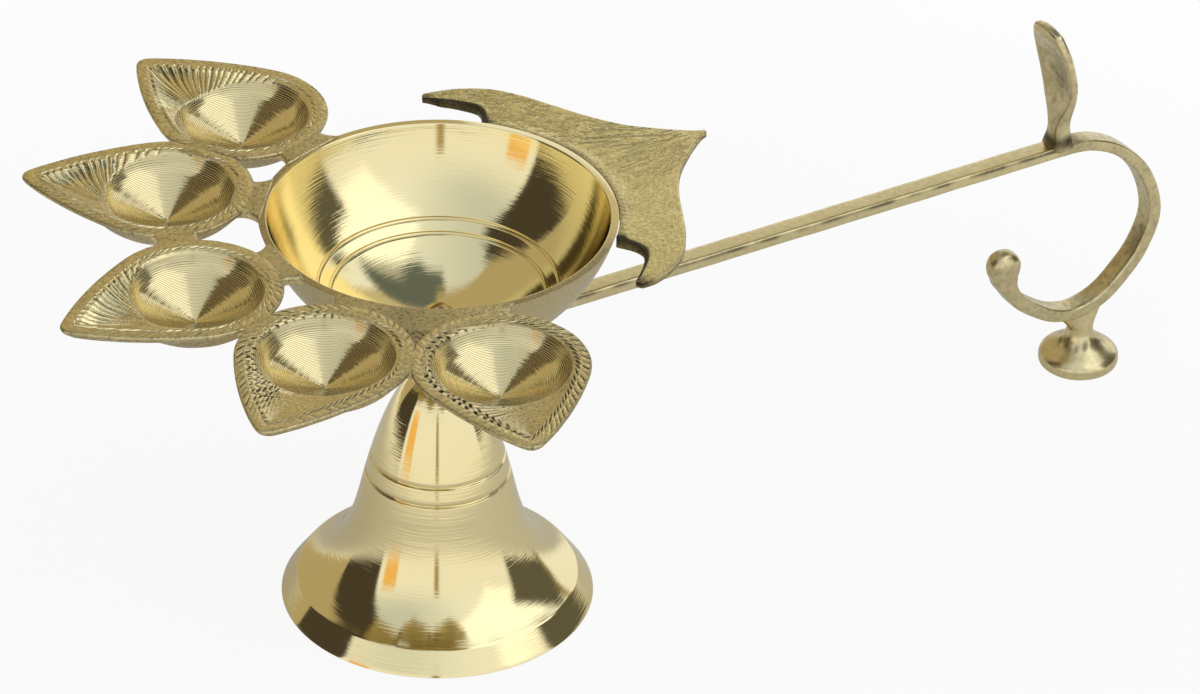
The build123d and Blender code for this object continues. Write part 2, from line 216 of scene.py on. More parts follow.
def brass(name, dull, gloss=0.1, satin=0.4, ring=0.0, ring_pitch=3.0, pit=0.0, pit_size=2.2,
          blotch=0.5, mottle=0.72, tool=0.0, tool_pitch=0.55):
    """Metal whose colour, roughness and bump follow the polish, cut and dark values on the points."""
    material, wire = new_material(name)
    math, span, noise, blend = wire.math, wire.span, wire.noise, wire.blend
    shader = wire.nodes["Principled BSDF"].inputs
    shader["Metallic"].default_value = 1.0
    polish, cut, dark = wire.carried("polish"), wire.carried("cut"), wire.carried("dark")
    rough = math("SUBTRACT", 1.0, polish)

    grow = wire.node("ShaderNodeVectorMath", operation="SCALE")
    wire.feed([grow.inputs[0], grow.inputs["Scale"]], wire.coordinate("Object"), 1 / MM)
    place = grow.outputs[0]
    apart = wire.node("ShaderNodeSeparateXYZ")
    wire.feed(apart.inputs, place)
    spread = [math("MULTIPLY", apart.outputs[axis], RING_SPREAD) for axis in (0, 1)]
    lathe_place = wire.node("ShaderNodeCombineXYZ")
    wire.feed(lathe_place.inputs, math("MULTIPLY", cut, ring_pitch), *spread)
    rings = noise(lathe_place.outputs[0], 1.0, 5.0)
    clouds = noise(place, 0.11, 4.0)
    specks = noise(place, pit_size, 2.0)
    grain = noise(place, pit_size * 2.7, 2.0)

    cast = blend(span(specks, 0.3, 0.7), dull, tuple(mottle * v for v in dull))
    colour = blend(polish, cast, BRIGHT)
    cloudy = math("MULTIPLY", math("SUBTRACT", clouds, 0.5), blotch)
    spots = math("MULTIPLY", span(specks, 0.58, 0.76, 0.0, 0.9 * (1.0 - mottle)), rough)
    # Patina and painted shade: the dark value, with cloudy noise and specks, sets how far the colour goes
    # towards the dark colour.
    soiled_and_shaded = math("ADD", math("MULTIPLY_ADD", cloudy, rough, dark), spots)
    soiled_and_shaded = span(soiled_and_shaded, 0.04, 0.95)
    wire.feed([shader["Base Color"]], blend(soiled_and_shaded, colour, SOOT_AND_SHADE))

    sheen = math("MULTIPLY_ADD", polish, gloss - satin, satin)
    uneven = math("MULTIPLY", math("SUBTRACT", specks, 0.5), math("MULTIPLY_ADD", rough, 0.2, 0.02))
    wire.feed([shader["Roughness"]], math("MULTIPLY_ADD", soiled_and_shaded, 0.25, math("ADD", sheen, uneven)))

    height = math("MULTIPLY", rings, ring)
    if tool:
        # Three quarters of each saw-tooth climb outwards and the last quarter falls.
        share = math("FRACT", math("DIVIDE", cut, tool_pitch))
        fall = math("DIVIDE", math("SUBTRACT", 1.0, share), 1.0 - TOOL_CLIMB)
        tooth = math("MINIMUM", math("DIVIDE", share, TOOL_CLIMB), fall)
        tooth = math("MULTIPLY", tooth, math("MULTIPLY_ADD", rings, 0.8, 0.6))
        height = math("MULTIPLY_ADD", tooth, tool, height)
    height = math("MULTIPLY", height, polish)
    pits = math("MULTIPLY", math("MULTIPLY_ADD", grain, 0.45, specks), pit)
    height = math("ADD", height, math("MULTIPLY", pits, rough))
    bump = wire.node("ShaderNodeBump")
    wire.feed([bump.inputs[key] for key in ("Strength", "Distance", "Height")], 1.0, MM, height)
    wire.feed([shader["Normal"]], bump.outputs[0])
    return material


turned = brass("turned_brass", (0.54, 0.43, 0.21), gloss=0.07, ring=0.03, ring_pitch=3.2, pit=0.03)
chased = brass("chased_brass", (0.88, 0.73, 0.36), gloss=0.10, satin=0.33, ring=0.035, ring_pitch=2.6,
               pit=0.085, pit_size=1.6, blotch=0.55, mottle=0.68, tool=0.066, tool_pitch=0.30)
plate = brass("stippled_brass", (0.93, 0.77, 0.34), gloss=0.2, satin=0.34, pit=0.10, pit_size=1.7,
              blotch=0.48, mottle=0.70)
filed = brass("filed_brass", (0.70, 0.59, 0.32), gloss=0.2, satin=0.30, pit=0.03, pit_size=0.8,
              blotch=0.55, mottle=0.78)
print("finishes:", [m.name for m in (turned, chased, plate, filed)])

# %% [markdown]
# ## The bell stand
#
# The stand is turned on a lathe, so one section carried round the axis gives all of it, the hollow underside
# too: a chamfered foot band, a hollow flare and a swelling crown, with two lines cut round the waist. A bevel
# could soften its corners, but averaging neighbouring points of the section does it before any face exists.
# Afterwards points are kept mostly where the section bends.

# %% Draw and turn a section
def curve(*corners, count=60):
    """Bezier curve of any degree from its control points, by repeated blending of neighbours."""
    t = np.linspace(0.0, 1.0, count)[:, None]
    level = [np.broadcast_to(np.asarray(c, float), (count, len(c))) for c in corners]
    while len(level) > 1:
        level = [a * (1 - t) + b * t for a, b in zip(level, level[1:])]
    return level[0]


def along(line):
    """Length along a line from its first point, at every point."""
    return np.concatenate([[0], np.cumsum(np.linalg.norm(np.diff(line, axis=0), axis=1))])


def even_steps(line, count):
    """The same line with its points spread evenly by length."""
    length = along(line)
    return np.stack([np.interp(np.linspace(0, length[-1], count), length, axis) for axis in line.T], -1)


def bell(value, middle, width, power=2):
    """One at the middle, falling off on both sides: e to minus a power of the distance over the width."""
    return np.exp(-(((value - middle) / width) ** power))


def soften(profile, step, reach):
    """Section resampled every step and averaged with a bell weighting, which rounds its corners."""
    fine = even_steps(profile, int(along(profile)[-1] / step))[:-1]
    offsets = np.arange(-int(3 * reach / step), int(3 * reach / step) + 1)
    weight = np.exp(-0.5 * (offsets * step / reach) ** 2)
    closed = fine[(np.arange(len(fine))[:, None] + offsets) % len(fine)]
    return (closed * weight[:, None]).sum(1) / weight.sum()


def distances(profile, places):
    """Distance of every point of a section from each of the given places."""
    return np.linalg.norm(profile[:, None] - np.asarray(places, float)[None], axis=-1)


def engrave(profile, places, width, depth):
    """Section with round grooves of a width and depth cut square to it at the given places."""
    tangent = np.roll(profile, -1, 0) - np.roll(profile, 1, 0)
    tangent /= np.linalg.norm(tangent, axis=1)[:, None]
    square = np.stack([-tangent[:, 1], tangent[:, 0]], -1)
    cut = depth * bell(distances(profile, places), 0.0, width, 4).sum(1)
    return profile + square * cut[:, None]


def near_places(profile, places, width):
    """One at the given places of a section, falling off as a bell of that width, as one column."""
    return bell(distances(profile, places).min(1), 0.0, width)[:, None]


def thin(profile, count):
    """About count points of a closed section, spaced by length plus five times the angle it turns by."""
    step = np.roll(profile, -1, 0) - profile
    heading = np.unwrap(np.arctan2(step[:, 1], step[:, 0]))
    bend = np.abs(np.diff(heading, append=heading[-1]))
    worth = np.cumsum(np.linalg.norm(step, axis=1) + 5.0 * bend)
    return profile[np.unique(np.searchsorted(worth, np.linspace(worth[0], worth[-1], count)))]


def circle(count):
    """Angles of a full turn in even steps, as one row."""
    return np.linspace(0, 2 * np.pi, count, endpoint=False)[None, :]


def lathe(profile, columns, centre_x=0.0):
    """Surface of a section (radius, height) turned round a vertical axis on the line y = 0."""
    a = circle(columns)
    radius, height = profile[:, :1], profile[:, 1:]
    x = centre_x + radius * np.cos(a)
    return np.stack([x, radius * np.sin(a), np.broadcast_to(height, x.shape)], -1)

# %% Turn the bell stand
SCREW_HOLE, CROWN_RADIUS, CROWN_TOP, SEAT_TOP, CEILING = 2.1, 5.0, 49.3, 56.6, 41.3
CORNER_STEP, CORNER_REACH = 0.06, 0.07
foot_band = [(24.9, 0.0), (30.4, 0.0), (27.3, 4.25)]
flare = curve((27.3, 4.25), (19.0, 8.85), (16.87, 15.5), (15.0, 24.0), count=120)
crown = curve((15.0, 24.0), (12.91, 33.5), (9.3, 45.8), (CROWN_RADIUS, CROWN_TOP), count=120)
seat = [(CROWN_RADIUS, CROWN_TOP), (CROWN_RADIUS, SEAT_TOP), (SCREW_HOLE, SEAT_TOP),
        (SCREW_HOLE, CEILING), (6.9, CEILING), (12.6, 24.0)]
hollow = curve((12.6, 24.0), (14.47, 15.5), (16.6, 4.6), (24.9, 0.0), count=60)
waist_lines = [(13.93, 28.45), (13.2, 32.05)]
stand = soften(np.vstack([foot_band, flare, crown, seat, hollow]), CORNER_STEP, CORNER_REACH)
stand = thin(engrave(stand, waist_lines, 0.30, 0.32), 300)
stand_dark = 0.75 * near_places(stand, waist_lines, 0.28)
stand_dark += np.where((stand[:, :1] < 5.4) & (stand[:, 1:] < CEILING + 0.2), 0.4, 0.0)
stand_shell = shell(lathe(stand, 256), True, 1.0, along(stand)[:, None], stand_dark)
make_piece("bell_stand", [stand_shell], turned, "stand")

# %% [markdown]
# ## The oil bowl
#
# Also turned: a spherical hollow, polished like a mirror inside and satin outside, with two rings cut into
# the wall. Its flat lip is bright where cloth and thumb reach it, on the far side and next to the fan, and
# dull where the leaves are joined on.

# %% Turn the oil bowl
BOWL_MIDDLE, BOWL_OUT, BOWL_IN, RIM_TOP = 95.92, 35.473, 33.973, 86.15
BOSS_RADIUS, BOSS_BOTTOM, FLOOR_RADIUS, BOWL_COLUMNS = 7.0, 59.35, 4.4, 288
RUBBED_MIDDLE, RUBBED_REACH = 34.0, 78.0


def sphere_height(sphere, radius):
    """Height of the lower half of a sphere round the bowl's middle, at a radius from the axis."""
    return BOWL_MIDDLE - np.sqrt(sphere**2 - radius**2)


def bowl_arc(sphere, start, stop):
    """Arc of a sphere's section between two heights, from its angles below the level of the centre."""
    first, last = np.arcsin((np.array([start, stop]) - BOWL_MIDDLE) / sphere)
    a = np.linspace(first, last, 160)
    return np.stack([sphere * np.cos(a), BOWL_MIDDLE + sphere * np.sin(a)], -1)


floor_level = sphere_height(BOWL_IN, FLOOR_RADIUS)
outside = bowl_arc(BOWL_OUT, sphere_height(BOWL_OUT, BOSS_RADIUS), RIM_TOP - 0.12)
inside = bowl_arc(BOWL_IN, RIM_TOP, floor_level)
boss = [(SCREW_HOLE, BOSS_BOTTOM), (BOSS_RADIUS, BOSS_BOTTOM)]
bowl = np.vstack([boss, outside, inside, [(SCREW_HOLE, floor_level), (SCREW_HOLE, BOSS_BOTTOM)]])
bowl_rings = [(r, sphere_height(BOWL_IN, r)) for r in (20.5, 22.8)]
bowl = thin(engrave(soften(bowl, CORNER_STEP, CORNER_REACH), bowl_rings, 0.34, 0.24), 290)
round_bowl = np.linspace(0, 360, BOWL_COLUMNS, endpoint=False)[None, :]
from_rubbed = np.abs((round_bowl - RUBBED_MIDDLE + 180) % 360 - 180)
rubbed = 1 / (1 + np.exp((from_rubbed - RUBBED_REACH) / 4.0))
from_middle = np.hypot(bowl[:, :1], bowl[:, 1:] - BOWL_MIDDLE)
on_lip = (bowl[:, 1:] > RIM_TOP - 0.3) & (from_middle > BOWL_IN + 0.2)
bowl_polish = np.where(from_middle < BOWL_IN + 0.3, 1.0, 0.25)
bowl_polish = np.where(on_lip, 0.15 + 0.85 * rubbed, bowl_polish)
bowl_dark = 0.45 * near_places(bowl, bowl_rings, 0.28) + np.where(on_lip, 0.22 * (1 - rubbed), 0.0)
bowl_shell = shell(lathe(bowl, BOWL_COLUMNS), True, bowl_polish, along(bowl)[:, None], bowl_dark)
make_piece("oil_bowl", [bowl_shell], turned, "head")

# %% [markdown]
# ## The leaf cups
#
# Each leaf is a teardrop plate with a round cup sunk in it for the wick. A smith has cut veins into the
# floor between cup and border, punched a rope along the border's inner edge and chased the border with
# slanted strokes. Separate strokes could be joined on, but they belong to one skin, so a grid is better: one
# parameter runs round the outline by length, so that the strokes are even, and the other from the middle of
# the cup out over the border, round the edge and back to the middle underneath.

# %% The leaf's outline
LEAF_TOP, LEAF_OUT = 86.75, 52.3
LEAF_RADIUS, LEAF_TIP, BELLY = 16.7, 29.0, np.radians(66.0)
TIP_BLUNT, TIP_SOFT = 1.1, 0.6
ROPE_IN, ROPE_OUT, EDGE_ROUND = 3.1, 2.1, 0.35
LEAF_COLUMNS = 640

square_out = np.array([np.cos(BELLY), np.sin(BELLY)])
chord = LEAF_RADIUS * square_out - np.array([LEAF_TIP, 0.0])
flank_bend = chord @ chord / (2 * chord @ square_out)
flank_middle = (LEAF_RADIUS - flank_bend) * square_out


def leaf_edge(angle, inset):
    """Distance from the cup's middle to the outline drawn in: a circle, two wide arcs and a blunt tip."""
    a = np.abs(angle)
    toward = flank_middle[0] * np.cos(a) + flank_middle[1] * np.sin(a)
    flank = toward + np.sqrt(toward**2 - flank_middle @ flank_middle + (flank_bend - inset) ** 2)
    edge = np.where(a < BELLY, flank, LEAF_RADIUS - inset)
    blunt = (LEAF_TIP - TIP_BLUNT - inset) / np.maximum(np.cos(a), 0.2)
    return (edge + blunt - np.sqrt((edge - blunt) ** 2 + TIP_SOFT)) / 2


def angles_by_length(count, inset):
    """Directions from the cup's middle that step evenly along the outline, starting opposite the tip."""
    a = np.linspace(-np.pi, np.pi, 6001)
    r = leaf_edge(a, inset)
    length = along(np.stack([r * np.cos(a), r * np.sin(a)], -1))
    return np.interp(np.linspace(0, length[-1], count, endpoint=False), length, a)[None, :], length[-1]


leaf_angles, rope_length = angles_by_length(LEAF_COLUMNS, (ROPE_IN + ROPE_OUT) / 2)
leaf_steps = np.linspace(0, 1, LEAF_COLUMNS, endpoint=False)[None, :]
print("rope edge of one leaf:", round(rope_length, 1), "mm")

# %% [markdown]
# ## Strokes of the chasing tool
#
# Two patterns make up the chasing. Veins are rays from a point near the cup, each a round ridge between two
# sharp valleys. Slanted strokes repeat along the outline: as cuts on the border, as strands of the rope and,
# in rows like bricks, as slits. Each pattern is a height between 0 and 1, so the same array can also say
# where metal is rubbed bright and where dirt has stayed.

# %% Patterns for the leaves
def rays(du, dv, count, seed):
    """Ridges that fan out from a focus: the size of the cosine of the ray's angle, each of its own height."""
    turn = np.arctan2(dv, du) * count / (2 * np.pi)
    turn = turn + 0.10 * np.sin(2.3 * turn) + 0.07 * np.sin(5.1 * turn + 1.0)
    heights = np.random.default_rng(seed).uniform(0.75, 1.0, 256)
    each = heights[np.floor(turn + 0.5).astype(int) % len(heights)]
    return np.abs(np.cos(np.pi * turn)) ** 0.6, each * np.clip(np.hypot(du, dv) / 9.0, 0, 1)


def slanted(across, count, lean, width, seed):
    """Cuts that repeat count times along the outline, leaning across it, each with its own depth."""
    slow, quick = (2 * np.pi * waves * leaf_steps for waves in (7, 13))
    wander = 0.16 * np.sin(slow + seed) + 0.12 * np.sin(quick + 2.0 * seed)
    turn = leaf_steps * count + lean * across + wander
    depths = np.random.default_rng(seed).uniform(0.45, 1.0, 256)
    each = depths[np.floor(turn).astype(int) % len(depths)]
    return bell(turn % 1.0, 0.5, width) * each


def low_of(a, b, soft):
    """The lower of two heights, blended where they are closer than soft."""
    h = np.clip(0.5 + 0.5 * (b - a) / soft, 0, 1)
    return b * (1 - h) + a * h - soft * h * (1 - h)


def ease(value, low, high):
    """Zero below low, one above high, and a smooth rise between."""
    t = np.clip((value - low) / (high - low), 0, 1)
    return t * t * (3 - 2 * t)


def window(value, low, high, soft):
    """One between low and high, with a smooth rise and fall of a width just inside them."""
    return ease(value, low, low + soft) * ease(-value, -high, -high + soft)


def ripple(points, size, seed):
    """Low hammered unevenness: the mean of five slanted sine waves of about one wavelength."""
    rng = np.random.default_rng(seed)
    waves = rng.normal(size=(5, 3)) * (2 * np.pi / size / 1.7)
    return np.sin(points @ waves.T + rng.uniform(0, 2 * np.pi, 5)).mean(-1)


far_side = ease(-np.sin(leaf_angles), 0.0, 0.25)
near_side = ease(np.sin(leaf_angles), 0.0, 0.25)
print("chasing on", LEAF_COLUMNS, "columns of each leaf")

# %% [markdown]
# ## One leaf, from the cup outwards
#
# The cup is a shallow cone that curls up into a steep wall. The floor falls away from the border in a curve,
# and the lower of the two heights at each place makes the skin, so the cup's edge comes out by itself. The
# veins run on through the rope's line, where their ends stand like shingles. Heights are measured from the
# leaf's top.

# %% The leaf's cup and floor
CUP_EDGE, CUP_DEPTH, CUP_SLOPE, CUP_CURL, WALL_SLOPE = 13.2, 7.65, 0.32, 0.010, 1.50
FLOOR_Z, FLOOR_REACH = -0.32, 3.5
SLIT_ROW, SLIT_COUNT, SLIT_DEPTH = 1.5, 54, 0.42
ROPE_COUNT, ROPE_HEIGHT, ROPE_SUNK = 64, 0.40, 0.16


def leaf_floor(ring, seed, plan):
    """Radius, height, polish and dark value of the rows from the cup's middle to the outside of the rope."""
    lip, rope_edge = ring(ROPE_IN), ring(ROPE_OUT)
    to_cup = np.linspace(0, 1, 46)[:, None] ** 0.9 * np.ones_like(leaf_angles)
    to_lip = np.linspace(0, 1, 29)[1:, None]
    to_rope = np.linspace(0, 1, 11)[1:, None]
    r = [CUP_EDGE * to_cup, CUP_EDGE + (lip - CUP_EDGE) * to_lip, lip + (rope_edge - lip) * to_rope]
    r = np.concatenate(r)
    u, v = r * np.cos(leaf_angles), r * np.sin(leaf_angles)
    inside = np.clip(lip - r, 0, None)
    outside = np.clip((r - lip) / (rope_edge - lip), 0, 1)

    cone = -CUP_DEPTH + CUP_SLOPE * (np.sqrt(r**2 + 1.0) - 1.0) + CUP_CURL * r**2
    wall = FLOOR_Z + WALL_SLOPE * (r - CUP_EDGE)
    cup = -low_of(-cone, -wall, 1.3)
    floor = FLOOR_Z - plan["depth"] * (1 - np.exp(-inside / FLOOR_REACH)) + 0.10 * outside

    du, dv = u - plan["focus"][0], v - plan["focus"][1]
    ridge, lift = rays(du, dv, plan["rays"], seed)
    first, last = plan["fan"]
    veined = window(np.degrees(np.arctan2(dv, du)), first - 6, last, 6) * ease(u, 2.0, 6.0)
    floor = floor - plan["ray_depth"] * veined * lift * (1 - ridge) * ease(1 - outside, 0.0, 0.4)

    slit_side = far_side * (plan["slit_rows"] > 0)
    row = (lip - r) / SLIT_ROW
    slits = slanted(0.35 * row + 0.5 * np.floor(row), SLIT_COUNT, 1.0, 0.17, seed + 3)
    slits = slits * ease(0.5 - np.abs(row % 1.0 - 0.5), 0.02, 0.2)
    slits = slits * ease(plan["slit_rows"] - row, 0.0, 0.2) * ease(row, -0.75, -0.6) * slit_side
    floor = floor - SLIT_DEPTH * slits

    strand = slanted(outside, ROPE_COUNT, 1.2, 0.25, seed + 1)
    roped = np.clip(1 - veined - 0.8 * slit_side, 0, 1) * np.sin(np.pi * outside) ** 0.7
    floor = floor + roped * (ROPE_HEIGHT * strand - ROPE_SUNK)
    skin = np.where(outside > 0, floor, low_of(cup, floor, 0.16))
    in_cup = ease(floor - cup, -0.05, 0.25) * (outside <= 0)

    shine = np.maximum(0.80 * veined * ridge * np.clip(lift * 1.6, 0, 1), 1.1 * roped * strand)
    polish = np.clip(in_cup + (1 - in_cup) * shine, 0, 1)
    valley = veined * np.clip(0.55 - ridge, 0, 1) * np.clip(lift * 1.8, 0, 1)
    gaps = roped * np.clip(0.35 - strand, 0, 1)
    dirt = np.clip(1.5 * valley + plan["rope_dark"] * gaps + 1.1 * slits + plan["soil"], 0, 1)
    # Painted shade: inside the cup a dark ring on the steep wall stands in for the brown of light mirrored
    # twice there. Outside the cup the dark value is the patina and dirt above.
    dark = 0.38 * in_cup * ease(r, 10.0, 12.4) + (1 - in_cup) * dirt
    return r, skin, polish, dark

# %% [markdown]
# ## Border, edge and back of a leaf
#
# Outside the rope the border is nearly flat. The last rows round its edge over, go a little way down and
# close the leaf's domed back. Where two leaves meet, both outlines stop at the line halfway between them.

# %% The leaf's border and back
BORDER_Z, CUT_COUNT, CUT_DEPTH = -0.22, 58, 0.32
EDGE_DROP, EDGE_LEAN = 0.85, 0.5
DOME_RADIUS, DOME_START, DOME_DEPTH = 15.7, -1.2, 7.45
SUNK = 0.06


def leaf_ring(meeting):
    """A function from inset to the outline's distance, cut off at the lines halfway to the neighbours."""
    limit = np.full(leaf_angles.shape, 99.0)
    for side, half in meeting:
        lean = side * leaf_angles - half
        slope = np.where((lean > 0.2) & (lean < 2.9), np.sin(lean), 1e-3)
        limit = np.minimum(limit, LEAF_OUT * np.sin(half) / slope - 0.02)
    return lambda inset: np.minimum(leaf_edge(leaf_angles, inset), limit - 0.6 * inset)


def leaf_border(ring, seed, plan):
    """Radius, height, polish and dirt of the border's rows, with strokes cut across it."""
    t = np.linspace(0, 1, 13)[1:, None]
    r = ring(ROPE_OUT) + (ring(EDGE_ROUND) - ring(ROPE_OUT)) * t
    cuts = slanted(t, CUT_COUNT, plan["cut_lean"], 0.19, seed + 2)
    cuts = cuts * ease(t, 0.05, 0.25) * ease(1 - t, 0.0, 0.15)
    cuts = cuts * (plan["cut_far"] * far_side + plan["cut_near"] * near_side)
    z = BORDER_Z + 0.07 * np.sin(np.pi * t) - CUT_DEPTH * cuts
    polish = 0.7 * np.clip(np.roll(cuts, 3, 1) - cuts, 0, 1)
    return r, z, polish, 0.95 * cuts + 0.26 * ease(t, 0.75, 1.0)


def leaf_back(ring):
    """Radius, height, polish and dirt of the rows round the edge, down its side and over the domed back."""
    level = np.zeros_like(leaf_angles)
    q = np.linspace(0, np.pi / 2, 6)[1:, None]
    edge_r = ring(EDGE_ROUND) + (ring(0.0) - ring(EDGE_ROUND)) * np.sin(q)
    edge_z = BORDER_Z - EDGE_ROUND * (1 - np.cos(q)) + level
    t = np.linspace(0, 1, 5)[1:, None]
    side_r = ring(0.0) + (ring(EDGE_LEAN) - ring(0.0)) * t**2
    side_z = BORDER_Z - EDGE_ROUND - EDGE_DROP * t + level
    back_r = ring(EDGE_LEAN) * (1 - np.linspace(0, 1, 24)[1:, None])
    plate_z = BORDER_Z - EDGE_ROUND - EDGE_DROP - 1.4 * np.clip((ring(EDGE_LEAN) - back_r) / 2.2, 0, 1) ** 0.8
    dome_z = DOME_START - DOME_DEPTH * (1 - np.clip(back_r / DOME_RADIUS, 0, 1) ** 2.6) ** 0.75
    back_z = np.where(back_r < DOME_RADIUS, np.minimum(plate_z, dome_z), plate_z)
    r = np.concatenate([edge_r, side_r, back_r])
    return r, np.concatenate([edge_z, side_z, back_z]), np.zeros_like(r), np.full_like(r, 0.38)


def leaf_shell(seed, meeting, plan):
    """Grid over one leaf in its own frame: cup, floor, rope, border, rounded edge and domed back."""
    ring = leaf_ring(meeting)
    parts = [leaf_floor(ring, seed, plan), leaf_border(ring, seed, plan), leaf_back(ring)]
    r, z, polish, dark = [np.concatenate(rows) for rows in zip(*parts)]
    points = np.stack([LEAF_OUT + r * np.cos(leaf_angles), r * np.sin(leaf_angles), LEAF_TOP + z], -1)
    hammered = np.arange(len(r))[:, None] >= len(parts[0][0])
    points[..., 2] += 0.05 * ripple(points, 9.0, seed) * hammered - SUNK
    return shell(points, False, polish, np.minimum(r, 14.0), dark)

# %% [markdown]
# ## Necks and ties
#
# Between the leaves the casting is pierced: each leaf is held by a neck to the bowl and by a short tie to its
# neighbour, and one gap is filled. A neck or a tie is a flat bar whose width grows in a curve at both ends,
# so the windows between them get rounded corners.

# %% Bars that hold the leaves
def rounded(angle, squareness):
    """Cosine with its size raised to a small power, which turns a circle towards a square."""
    return np.sign(np.cos(angle)) * np.abs(np.cos(angle)) ** squareness


def closed_ends(count):
    """Ones with a zero at both ends, which draw the first and last section of a bar to a point."""
    ends = np.ones(count)
    ends[[0, -1]] = 0.0
    return ends


def flat_bar(start, stop, waist, flares, top, bottom):
    """Bar between two plan points: a rounded box section whose half width swells towards each end."""
    t = np.linspace(0, 1, 40)[:, None]
    start, stop = np.asarray(start, float), np.asarray(stop, float)
    line = start + (stop - start) * t
    across = np.array([-(stop - start)[1], (stop - start)[0]]) / np.linalg.norm(stop - start)
    half = waist + flares[0] * (1 - t) ** 3 + flares[1] * t**3
    q = circle(48)
    closing = closed_ends(len(t))[:, None]
    side = half * rounded(q, 0.28) * closing
    lift = (top - bottom) / 2 * rounded(q - np.pi / 2, 0.45) * closing
    x, y = line[:, :1] + across[0] * side, line[:, 1:] + across[1] * side
    return np.stack([x, y, (top + bottom) / 2 + lift], -1)


def web_between(half, radius_in, radius_out, top, bottom):
    """Filled web in the frame of its middle line: a plate whose sides run under the leaves' borders."""
    wide, cut_from, cut_pitch, cut_depth = 0.30, 40.5, 1.6, 0.22
    radius = radius_in + (radius_out - radius_in) * np.linspace(0, 1, 50)[:, None]
    reach = (radius**2 + LEAF_OUT**2 - (LEAF_RADIUS - 1.5) ** 2) / (2 * radius * LEAF_OUT)
    reach = np.clip(reach, -1, 1)
    spread = np.where(reach >= 1.0, wide, np.clip(half - np.arccos(reach), 0.02, wide))
    a = spread * np.linspace(-1, 1, 41)[None, :]
    x, y = radius * np.cos(a), radius * np.sin(a)
    valley = 1 - np.abs((((np.abs(y) * 0.9 - x) / cut_pitch) % 1.0) - 0.5) * 2
    upper = np.stack([x, y, top - cut_depth * np.clip((x - cut_from) / 3.0, 0, 1) * valley], -1)
    lower = np.stack([x, y, np.full_like(x, bottom)], -1)
    loop = np.concatenate([upper, lower[:, ::-1]], 1)
    ends = loop[[0, -1]].copy()
    ends[..., :2] = ends[..., :2].mean(1, keepdims=True)
    ends[..., 2] = (top + bottom) / 2
    dark = np.concatenate([0.36 + 0.3 * valley * (x > cut_from), np.full_like(x, 0.4)], 1)
    dark = np.concatenate([dark[:1], dark, dark[-1:]])
    return shell(np.concatenate([ends[:1], loop, ends[1:]]), dark=dark)


def turned_about_bowl(part_shell, degrees):
    """The same shell turned round the bowl's axis."""
    points, faces, values = part_shell
    c, s = np.cos(np.radians(degrees)), np.sin(np.radians(degrees))
    return points @ np.array([[c, s, 0], [-s, c, 0], [0, 0, 1]]), faces, values

# %% [markdown]
# ## The five leaves
#
# No two leaves were cut alike. Three have deep veins, one has rows of short strokes on its left side, and one
# has strokes along both borders. A leaf's plan holds its bearing on the bowl, where its veins start from and
# how deep they are, how deep its floor lies, which border is chased, and how dirty it is.

# %% Make the five leaves
deep_veins = dict(rays=60, fan=(-125, -19), ray_depth=0.60, depth=1.7, slit_rows=0,
                  cut_far=0.1, cut_near=0.7, cut_lean=0.9, rope_dark=1.3, soil=0.04)
short_strokes = dict(rays=50, fan=(-120, -60), depth=0.9)
plans = {
    "leaf_cup_right": dict(deep_veins, bearing=105.0, focus=(7.0, 3.2), rays=66, fan=(-120, 55),
                           cut_far=0.2, cut_near=0.5, rope_dark=1.5),
    "leaf_cup_front_right": dict(deep_veins, bearing=139.0, focus=(9.0, 6.3)),
    "leaf_cup_front": dict(deep_veins, bearing=178.5, focus=(9.5, 6.0)),
    "leaf_cup_front_left": dict(short_strokes, bearing=215.0, focus=(13.0, 4.0), ray_depth=0.15, slit_rows=4,
                                cut_far=1.0, cut_near=0.45, cut_lean=-0.9, rope_dark=2.4, soil=0.07),
    "leaf_cup_left": dict(short_strokes, bearing=251.0, focus=(13.0, 3.0), ray_depth=0.10, slit_rows=1,
                          cut_far=0.4, cut_near=1.0, cut_lean=0.9, rope_dark=2.2, soil=0.24),
}
NECK_FROM, NECK_TO, TIE_HALF, TIE_OUT = 32.8, 39.6, 2.6, 0.6
half_gaps = np.diff([plan["bearing"] for plan in plans.values()]) / 2
for place, (name, plan) in enumerate(plans.items()):
    sides = [(side, k) for side, k in ((1, place), (-1, place - 1)) if 0 <= k < len(half_gaps)]
    meeting = [(side, np.radians(half_gaps[k])) for side, k in sides]
    neck = flat_bar((NECK_FROM, 0.0), (NECK_TO, 0.0), 4.9, (2.6, 2.2), LEAF_TOP - 0.29, LEAF_TOP - 2.4)
    neck[..., 2] += 0.05 * ripple(neck, 5.0, 31 + place)
    shells = [turned_about_bowl(leaf_shell(11 + place, meeting, plan), plan["bearing"]),
              turned_about_bowl(shell(neck, dark=0.30), plan["bearing"])]
    if place < len(half_gaps):
        half = np.radians(half_gaps[place])
        middle = plan["bearing"] + half_gaps[place]
        tie_x = LEAF_OUT * np.cos(half) + TIE_OUT
        tie_ends = (tie_x, -TIE_HALF), (tie_x, TIE_HALF)
        tie = flat_bar(*tie_ends, 3.6, (1.2, 1.2), LEAF_TOP - 0.27, LEAF_TOP - 2.2)
        shells.append(turned_about_bowl(shell(tie, dark=0.26), middle))
        if name == "leaf_cup_front_left":
            web = web_between(half, 33.3, LEAF_OUT * np.cos(half) + 3.2, LEAF_TOP - 0.38, LEAF_TOP - 2.0)
            shells.append(turned_about_bowl(web, middle))
    make_piece(name, shells, chased, "head")

# %% [markdown]
# ## The tail fan
#
# A flat plate with two horns and a middle point is brazed to the rim above the handle. It could be cut from a
# sheet with its outline, but then the tool marks would not follow its curves, so it is drawn as a strip
# between two lines: the inner one follows the horns' hollows and the bowl, the outer one the plate's back.
# The strip's section goes over the top, round the outer edge and back underneath.

# %% Outline and strip of the tail fan
FAN_TOP, FAN_THICK, FAN_ROWS, FAN_COLUMNS = 85.6, 1.9, 300, 62
FAN_SEAM, EDGE_FROM, EDGE_FALL = 34.2, 0.955, 0.45


